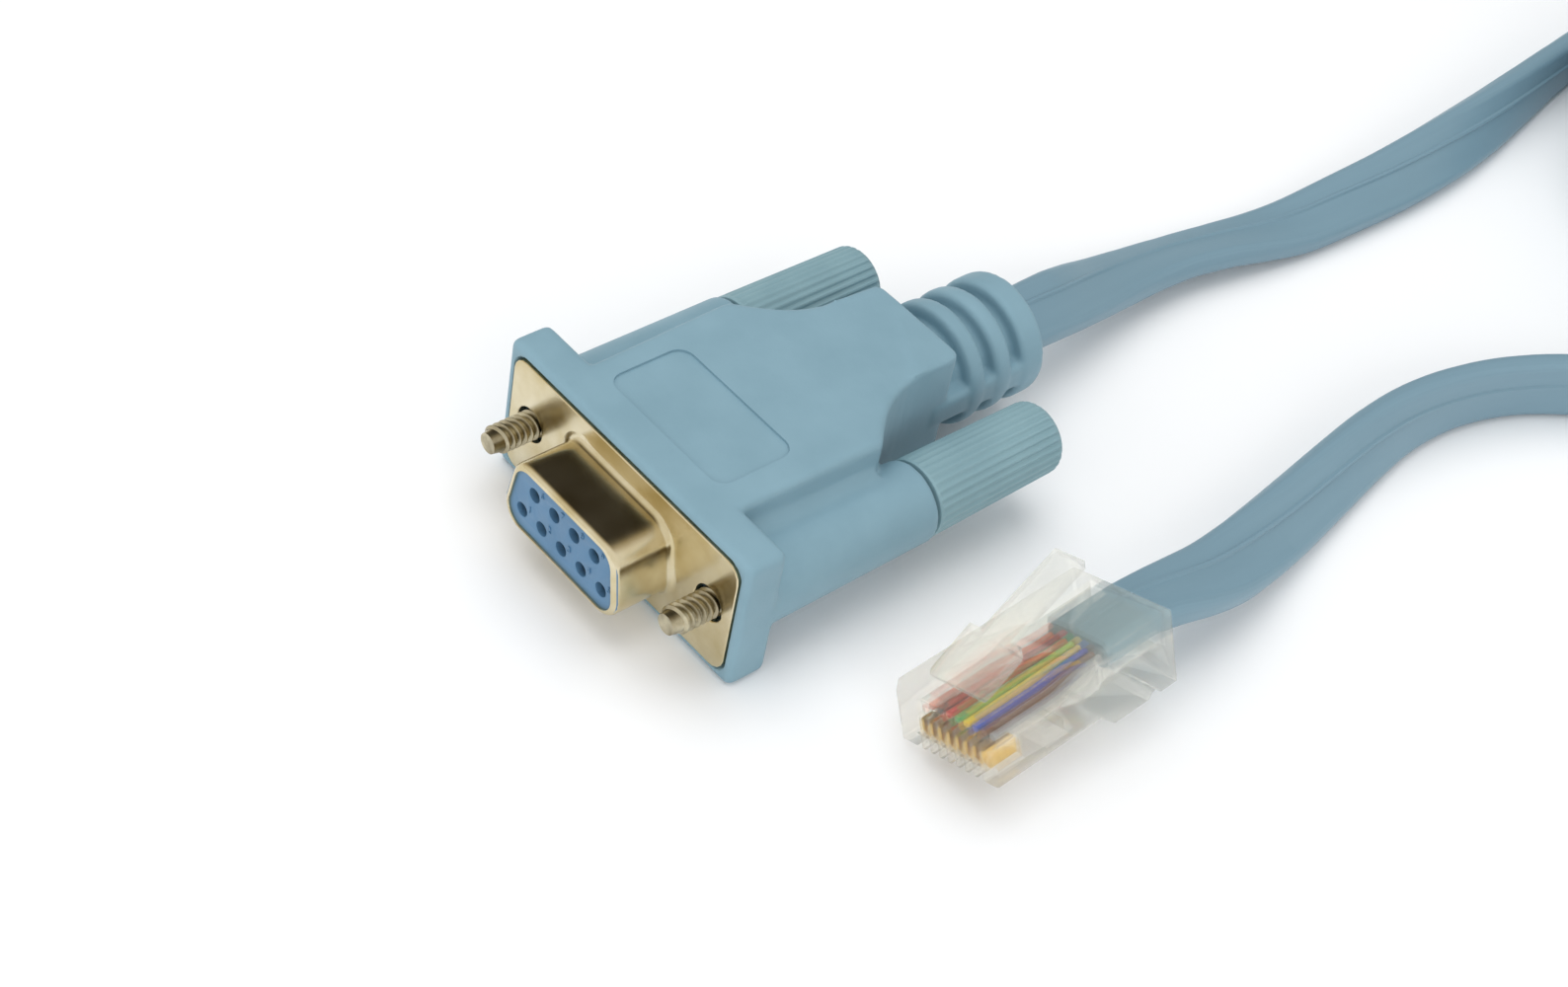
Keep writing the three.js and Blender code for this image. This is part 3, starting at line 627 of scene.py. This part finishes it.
# The socket block: blue glass-filled thermoplastic with a raised lip round each hole, and
# the contacts' numbers moulded beside them.
block = smooth_copy("insulator", "socket_block", 0.00006, 2, 30)
socket_plastic = moulded_pvc("glass_filled_polyester", "#517A9C", "#5B84A6", 0.42)
block.data.materials.append(socket_plastic)
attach(block, "lead")
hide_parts("insulator")

socket_face = -25.65
contact_pitch = 2.77
row_gap = 2.84
number_size = 0.95
number_rise = 0.05
numbers = []
for index in range(9):
    wide_row = index < 5
    across = (index - 2) * contact_pitch if wide_row else (index - 5 - 1.5) * contact_pitch
    height = d_sub_height + (-row_gap / 2 if wide_row else row_gap / 2)
    bpy.ops.object.select_all(action="DESELECT")
    bpy.ops.object.text_add(
        location=((across + 0.82) * MM, (socket_face - number_rise) * MM, (height + 0.55) * MM),
        rotation=(math.pi / 2, 0.0, 0.0),
    )
    digit = bpy.context.object
    digit.data.body = str(index + 1)
    digit.data.size = number_size * MM
    digit.data.extrude = number_rise * MM
    digit.data.resolution_u = 3
    bpy.ops.object.convert(target="MESH")
    bpy.ops.object.transform_apply(location=True, rotation=True, scale=True)
    numbers.append(bpy.context.object)
bpy.ops.object.select_all(action="DESELECT")
for digit in numbers:
    digit.select_set(True)
bpy.context.view_layer.objects.active = numbers[0]
bpy.ops.object.join()
pin_numbers = bpy.context.object
pin_numbers.name = "contact_numbers"
pin_numbers.data.materials.clear()
pin_numbers.data.materials.append(socket_plastic)
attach(pin_numbers, "lead")

# The contacts: turned brass sleeves flashed with gold, set back in their holes.
gold, tree, shader = new_finish("gold_flash", {"Metallic": 1.0, "Roughness": 0.24})
where = add(tree, "ShaderNodeTexCoord")
wear = add(
    tree, "ShaderNodeTexNoise", {"Scale": 900.0, "Detail": 3.0}, {"Vector": where.outputs["Object"]}
)
tone = add(tree, "ShaderNodeValToRGB", links={"Fac": wear.outputs["Fac"]})
set_ramp(tone, [(0.3, "#D2A645"), (0.7, "#EBCB78")])
tree.links.new(tone.outputs["Color"], shader.inputs["Base Color"])
relief = add(
    tree, "ShaderNodeBump", {"Strength": 0.1, "Distance": 0.00005}, {"Height": wear.outputs["Fac"]}
)
tree.links.new(relief.outputs["Normal"], shader.inputs["Normal"])
for index in range(9):
    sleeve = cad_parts[f"contact_{index + 1}"]
    sleeve.data.materials.clear()
    sleeve.data.materials.append(gold)


# The jackscrews: steel with a rolled thread and a turned-down tip, held in the knobs.
screw_pitch = 0.635
screw_radius = 1.4
screw_depth = 0.27
screw_tip_radius = 1.0
screw_tip_taper = 0.75
screw_front = -24.4
screw_threaded = 9.6
screw_end = 11.4
screw_spacing = 24.99
screw_steps = 40


def turned_piece(name, outline, steps):
    """Turns an outline of (radius, place along the axis) about the Y axis into a closed body."""
    bpy.ops.object.select_all(action="DESELECT")
    bpy.ops.mesh.primitive_plane_add(size=0.001)
    piece = bpy.context.object
    piece.name = name
    bpy.ops.object.mode_set(mode="EDIT")
    bpy.ops.mesh.select_all(action="SELECT")
    bpy.ops.mesh.delete(type="VERT")
    bpy.ops.object.mode_set(mode="OBJECT")
    places = [(radius * MM, along * MM, 0.0) for radius, along in outline]
    edges = [(i, i + 1) for i in range(len(places) - 1)]
    piece.data.from_pydata(places, edges, [])
    bpy.ops.object.mode_set(mode="EDIT")
    bpy.ops.mesh.select_all(action="SELECT")
    bpy.ops.mesh.spin(
        steps=steps, angle=math.tau, center=(0.0, 0.0, 0.0), axis=(0.0, 1.0, 0.0), use_auto_merge=False
    )
    bpy.ops.mesh.select_all(action="SELECT")
    bpy.ops.mesh.remove_doubles(threshold=0.000001)
    bpy.ops.mesh.normals_make_consistent(inside=False)
    bpy.ops.object.mode_set(mode="OBJECT")
    return piece


def move_into_place(piece, place):
    piece.location = [x * MM for x in place]
    only(piece)
    bpy.ops.object.transform_apply(location=True, rotation=True, scale=True)


along = screw_front + screw_tip_taper
thread = [(0.0, screw_front), (screw_tip_radius, screw_front), (screw_radius - screw_depth, along)]
while along < screw_front + screw_threaded:
    thread.append((screw_radius - screw_depth, along + screw_pitch * 0.12))
    thread.append((screw_radius, along + screw_pitch * 0.42))
    thread.append((screw_radius, along + screw_pitch * 0.58))
    thread.append((screw_radius - screw_depth, along + screw_pitch * 0.88))
    along += screw_pitch
thread += [(screw_radius, along + 0.3), (screw_radius, screw_end), (0.0, screw_end)]
jackscrew = turned_piece("jackscrew_thread_left", thread, screw_steps)
for vertex in jackscrew.data.vertices:
    reach = math.hypot(vertex.co.x, vertex.co.z)
    threaded = screw_front + 0.8 < vertex.co.y / MM < along
    if threaded and reach > 0.0005:
        vertex.co.y += screw_pitch * MM / 2 * vertex.co.x / reach
only(jackscrew)
bpy.ops.object.shade_smooth_by_angle(angle=math.radians(28))
screw_steel, tree, shader = new_finish("zinc_plated_steel", {"Metallic": 1.0, "Roughness": 0.3})
where = add(tree, "ShaderNodeTexCoord")
stain = add(
    tree, "ShaderNodeTexNoise", {"Scale": 700.0, "Detail": 4.0}, {"Vector": where.outputs["Object"]}
)
tone = add(tree, "ShaderNodeValToRGB", links={"Fac": stain.outputs["Fac"]})
set_ramp(tone, [(0.3, "#8A8068"), (0.7, "#CBC2A6")])
tree.links.new(tone.outputs["Color"], shader.inputs["Base Color"])
relief = add(
    tree, "ShaderNodeBump", {"Strength": 0.15, "Distance": 0.00005}, {"Height": stain.outputs["Fac"]}
)
tree.links.new(relief.outputs["Normal"], shader.inputs["Normal"])
jackscrew.data.materials.append(screw_steel)
for side, name in ((-1, "left"), (1, "right")):
    one = jackscrew
    if side > 0:
        one = bpy.data.objects.new("jackscrew_thread_right", jackscrew_mesh)
        bpy.context.scene.collection.objects.link(one)
    else:
        jackscrew_mesh = jackscrew.data.copy()
    move_into_place(one, (side * screw_spacing / 2, 0.0, d_sub_height))
    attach(one, f"thumbscrew_{name}")
    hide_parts(f"jackscrew_{name}")


# The knobs: hard pale blue plastic moulded over the screws, with thirty fluted grip ribs
# and a rounded end.
knob_front = 3.4
knob_length = 15.7
knob_radius_front = 3.73
knob_radius_rear = 3.53
knob_round = 0.9
knob_ribs = 30
knob_flute = 0.17
knob_bore = 1.75
knob_bore_depth = 8.7

knob_outline = [(0.0, knob_front + knob_bore_depth), (knob_bore, knob_front + knob_bore_depth)]
knob_outline += [(knob_bore, knob_front + 0.25), (knob_bore + 0.25, knob_front)]
knob_outline += [(knob_radius_front - 0.3, knob_front), (knob_radius_front - 0.08, knob_front + 0.08)]
knob_outline += [(knob_radius_front, knob_front + 0.3), (knob_radius_front, knob_front + 0.7)]
for i in range(9):
    angle = math.pi / 2 * i / 8
    knob_outline.append((
        knob_radius_rear - knob_round + knob_round * math.cos(angle),
        knob_front + knob_length - knob_round + knob_round * math.sin(angle),
    ))
knob_outline.append((0.0, knob_front + knob_length))
knob = turned_piece("grip_knob_left", knob_outline, knob_ribs * 4)
for vertex in knob.data.vertices:
    reach = math.hypot(vertex.co.x, vertex.co.z)
    step = round(math.atan2(vertex.co.x, vertex.co.z) / math.tau * knob_ribs * 4)
    grip = knob_front + 0.5 < vertex.co.y / MM < knob_front + knob_length - knob_round * 0.25
    if grip and reach > (knob_radius_rear - 0.4) * MM and step % 4 in (0, 3):
        shrunk = 1 - knob_flute * MM / reach
        vertex.co.x *= shrunk
        vertex.co.z *= shrunk
only(knob)
bpy.ops.object.shade_smooth_by_angle(angle=math.radians(38))
knob_plastic = moulded_pvc("moulded_hard_plastic", "#7F9FA8", "#88A8B0", 0.45)
knob.data.materials.append(knob_plastic)
knob_mesh = knob.data.copy()
for side, name in ((-1, "left"), (1, "right")):
    one = knob
    if side > 0:
        one = bpy.data.objects.new("grip_knob_right", knob_mesh)
        bpy.context.scene.collection.objects.link(one)
    move_into_place(one, (side * screw_spacing / 2, 0.0, d_sub_height))
    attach(one, f"thumbscrew_{name}")
    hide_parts(f"thumbscrew_knob_{name}")


# The plug: clear polycarbonate, moulded with its latch, with slots for the blades and a
# cavity for the fanned wires and the end of the jacket. Its edges look milky, because
# there the eye looks along the wall and not through it.
plug_shell = smooth_copy("plug_body", "clear_plug", 0.00016, 3, 40)
latch = smooth_copy("plug_latch", "clear_latch", 0.0002, 3, 40)
clear, tree, shader = new_finish(
    "clear_polycarbonate",
    {
        "Base Color": paint("#FFFCEE"),
        "Roughness": 0.0,
        "IOR": 1.2,
        "Transmission Weight": 0.85,
        "Specular IOR Level": 0.8,
    },
)
edge_on = add(tree, "ShaderNodeLayerWeight", {"Blend": 0.35})
body_of_plastic = add(
    tree, "ShaderNodeMapRange", {"To Min": 0.2, "To Max": 0.75}, {"Value": edge_on.outputs["Facing"]}
)
tree.links.new(body_of_plastic.outputs["Result"], shader.inputs["Alpha"])
where = add(tree, "ShaderNodeTexCoord")
flow = add(
    tree, "ShaderNodeTexNoise", {"Scale": 300.0, "Detail": 2.0}, {"Vector": where.outputs["Object"]}
)
relief = add(
    tree, "ShaderNodeBump", {"Strength": 0.05, "Distance": 0.0001}, {"Height": flow.outputs["Fac"]}
)
tree.links.new(relief.outputs["Normal"], shader.inputs["Normal"])
for piece, node, body in ((plug_shell, "plug_body", "lead"), (latch, "plug_latch", "latch")):
    piece.data.materials.append(clear)
    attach(piece, body)
    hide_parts(node)

# The blades: gold-flashed phosphor bronze.
for index in range(8):
    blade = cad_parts[f"plug_blade_{index + 1}"]
    blade.data.materials.clear()
    blade.data.materials.append(gold)

# The wires: stranded copper in coloured PVC, fanned out from the cut end of the jacket.
wire_tints = {
    "orange": ("#D8664A", "#E37F5F"),
    "black": ("#1B1C20", "#2A2B30"),
    "red": ("#C21F24", "#D63330"),
    "green": ("#1F9244", "#35AB58"),
    "yellow": ("#E6C011", "#F2D433"),
    "blue": ("#1D45B8", "#2F5BCB"),
    "brown": ("#6E4430", "#80523C"),
    "grey": ("#8B8E94", "#9EA1A6"),
}
for index, (name, (dark, light)) in enumerate(wire_tints.items()):
    wire = smooth_copy(f"plug_wire_{index + 1}", f"wire_{name}", angle=60)
    wire.data.materials.append(moulded_pvc(f"wire_pvc_{name}", dark, light, 0.35))
    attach(wire, "lead")
    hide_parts(f"plug_wire_{index + 1}")


# The tie: a black strap of woven nylon round the coil's turns, closed on itself. Its
# square weave is dull, with a soft sheen.
strap = smooth_copy("coil_tie", "coil_strap", 0.0002, 2, 40)
strap_weave, tree, shader = new_finish("woven_nylon_strap", {"Roughness": 0.85, "Sheen Weight": 0.3})
where = add(tree, "ShaderNodeTexCoord")
warp = add(
    tree, "ShaderNodeTexWave", {"Scale": 620.0, "bands_direction": "X"}, {"Vector": where.outputs["Object"]}
)
weft = add(
    tree, "ShaderNodeTexWave", {"Scale": 620.0, "bands_direction": "Z"}, {"Vector": where.outputs["Object"]}
)
crossing = add(tree, "ShaderNodeMath", {"operation": "MULTIPLY"})
tree.links.new(warp.outputs["Fac"], crossing.inputs[0])
tree.links.new(weft.outputs["Fac"], crossing.inputs[1])
tone = add(tree, "ShaderNodeValToRGB", links={"Fac": crossing.outputs["Value"]})
set_ramp(tone, [(0.1, "#141416"), (0.9, "#34343A")])
tree.links.new(tone.outputs["Color"], shader.inputs["Base Color"])
relief = add(
    tree, "ShaderNodeBump", {"Strength": 0.5, "Distance": 0.0002}, {"Height": crossing.outputs["Value"]}
)
tree.links.new(relief.outputs["Normal"], shader.inputs["Normal"])
strap.data.materials.append(strap_weave)
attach(strap, "lead")
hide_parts("coil_tie")
